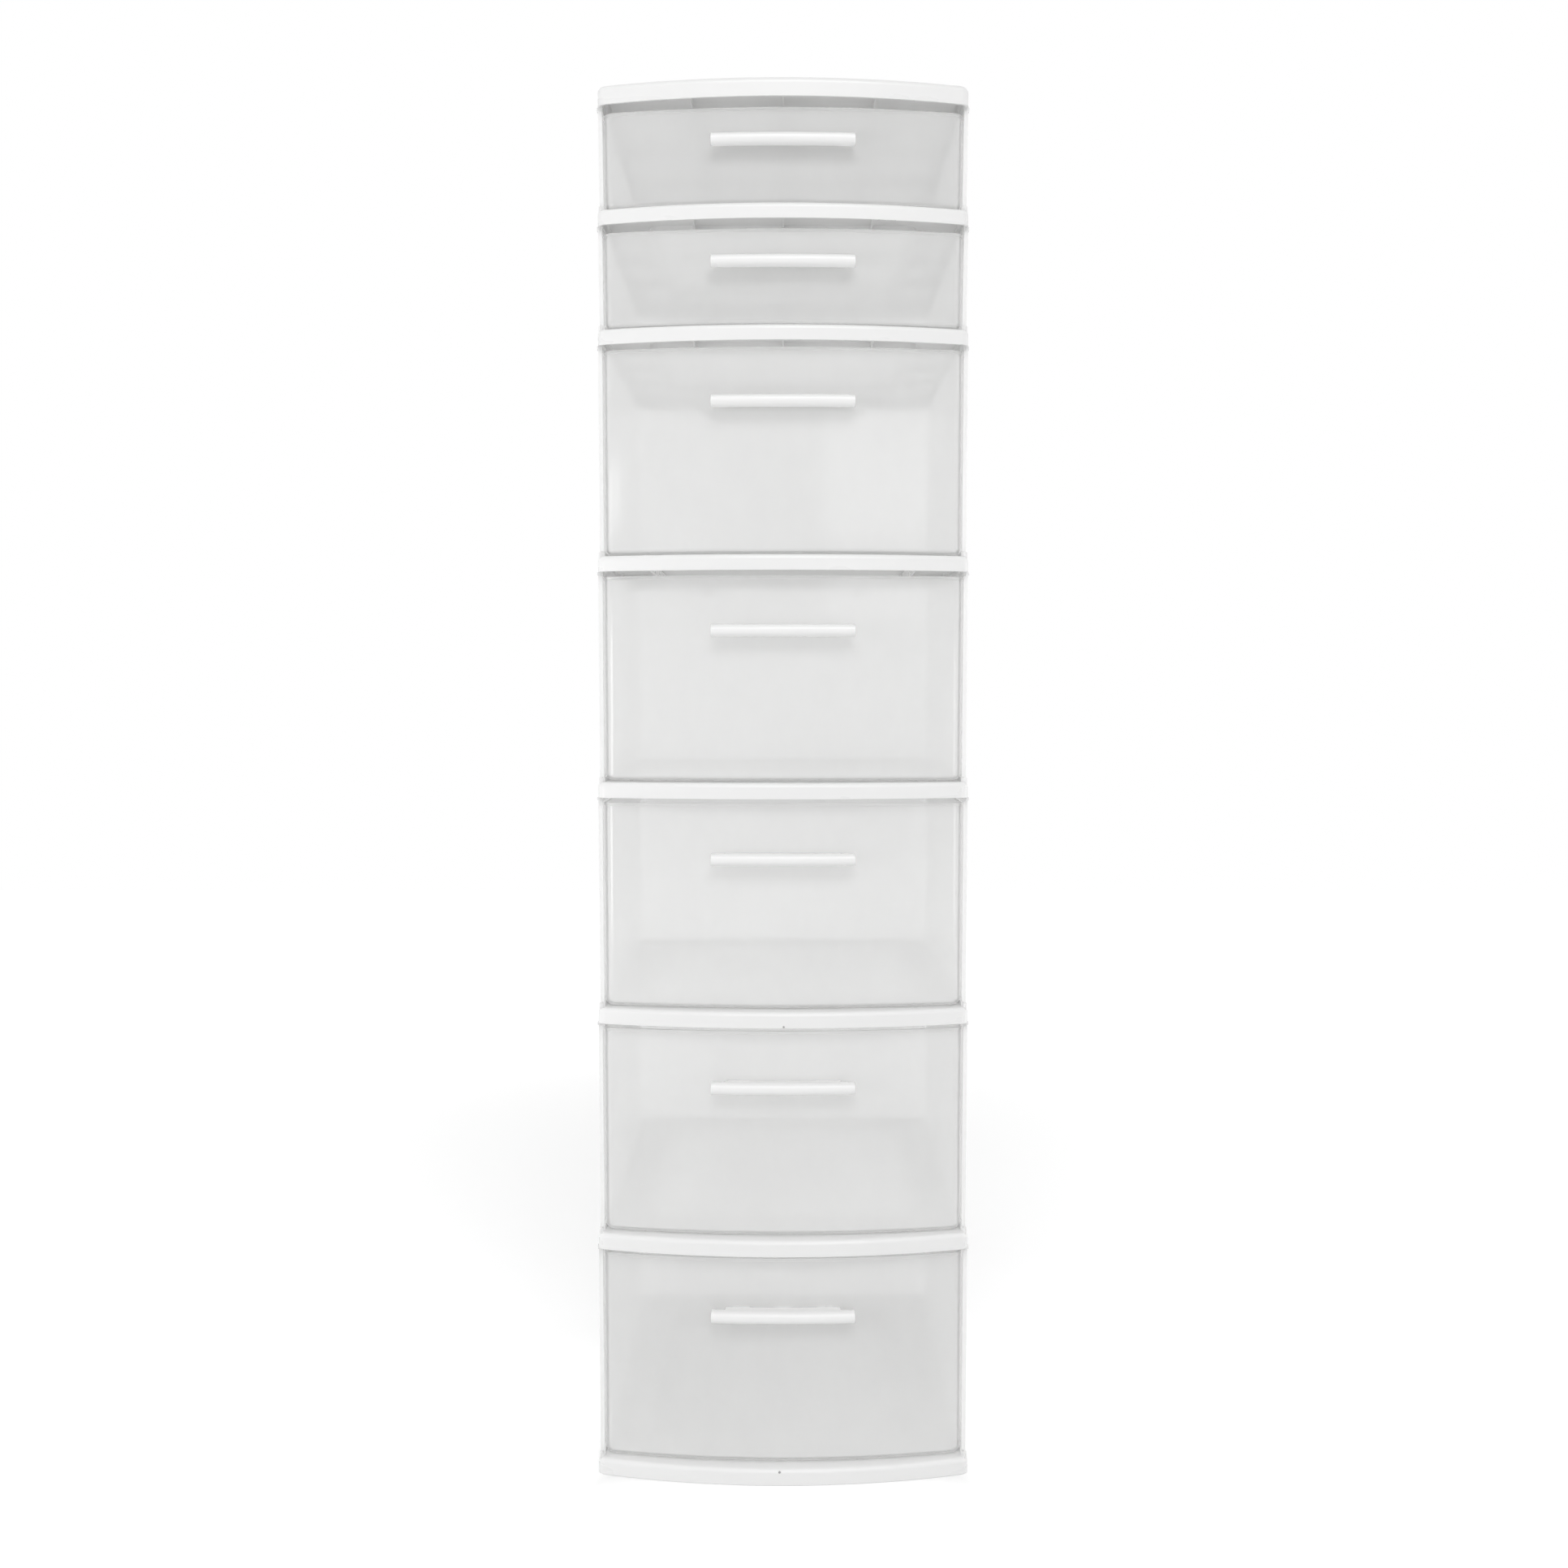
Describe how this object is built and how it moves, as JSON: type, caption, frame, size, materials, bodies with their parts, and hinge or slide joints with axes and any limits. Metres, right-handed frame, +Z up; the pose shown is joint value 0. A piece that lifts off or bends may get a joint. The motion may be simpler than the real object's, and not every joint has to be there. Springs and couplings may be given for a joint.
{
  "type": "plastic drawer tower",
  "caption": "Tall storage tower: bowed frosted drawers with bar pulls slide on white shelf frames, each inside a clear three-sided shell, under a white lid.",
  "frame": {"origin": "on the floor, under the middle of the tower's overall width and depth", "axes": "+Z up, +X to the tower's left as it faces, which is the viewer's right; the drawers face -Y and pull out along -Y"},
  "size_m": [0.322, 0.41, 1.198],
  "materials": {
    "white_plastic": "semi-gloss moulded white polypropylene",
    "frosted_plastic": "frosted translucent natural polypropylene"
  },
  "bodies": {
    "cabinet": {"lid": "white_plastic", "base_frame": "white_plastic", "shelf_frame_1": "white_plastic", "shelf_frame_2": "white_plastic", "shelf_frame_3": "white_plastic", "shelf_frame_4": "white_plastic", "shelf_frame_5": "white_plastic", "shelf_frame_6": "white_plastic", "tier_shell_1": "frosted_plastic", "tier_shell_2": "frosted_plastic", "tier_shell_3": "frosted_plastic", "tier_shell_4": "frosted_plastic", "tier_shell_5": "frosted_plastic", "tier_shell_6": "frosted_plastic", "tier_shell_7": "frosted_plastic"},
    "drawer_unit_1": {"drawer_1": "frosted_plastic", "handle_1": "white_plastic"},
    "drawer_unit_2": {"drawer_2": "frosted_plastic", "handle_2": "white_plastic"},
    "drawer_unit_3": {"drawer_3": "frosted_plastic", "handle_3": "white_plastic"},
    "drawer_unit_4": {"drawer_4": "frosted_plastic", "handle_4": "white_plastic"},
    "drawer_unit_5": {"drawer_5": "frosted_plastic", "handle_5": "white_plastic"},
    "drawer_unit_6": {"drawer_6": "frosted_plastic", "handle_6": "white_plastic"},
    "drawer_unit_7": {"drawer_7": "frosted_plastic", "handle_7": "white_plastic"}
  },
  "joints": [
    {"name": "drawer_slide_1", "type": "slide", "parent": "cabinet", "child": "drawer_unit_1", "axis": [0, -1, 0], "range_m": [0, 0.278]},
    {"name": "drawer_slide_2", "type": "slide", "parent": "cabinet", "child": "drawer_unit_2", "axis": [0, -1, 0], "range_m": [0, 0.278]},
    {"name": "drawer_slide_3", "type": "slide", "parent": "cabinet", "child": "drawer_unit_3", "axis": [0, -1, 0], "range_m": [0, 0.278]},
    {"name": "drawer_slide_4", "type": "slide", "parent": "cabinet", "child": "drawer_unit_4", "axis": [0, -1, 0], "range_m": [0, 0.278]},
    {"name": "drawer_slide_5", "type": "slide", "parent": "cabinet", "child": "drawer_unit_5", "axis": [0, -1, 0], "range_m": [0, 0.278]},
    {"name": "drawer_slide_6", "type": "slide", "parent": "cabinet", "child": "drawer_unit_6", "axis": [0, -1, 0], "range_m": [0, 0.278]},
    {"name": "drawer_slide_7", "type": "slide", "parent": "cabinet", "child": "drawer_unit_7", "axis": [0, -1, 0], "range_m": [0, 0.278]}
  ]
}
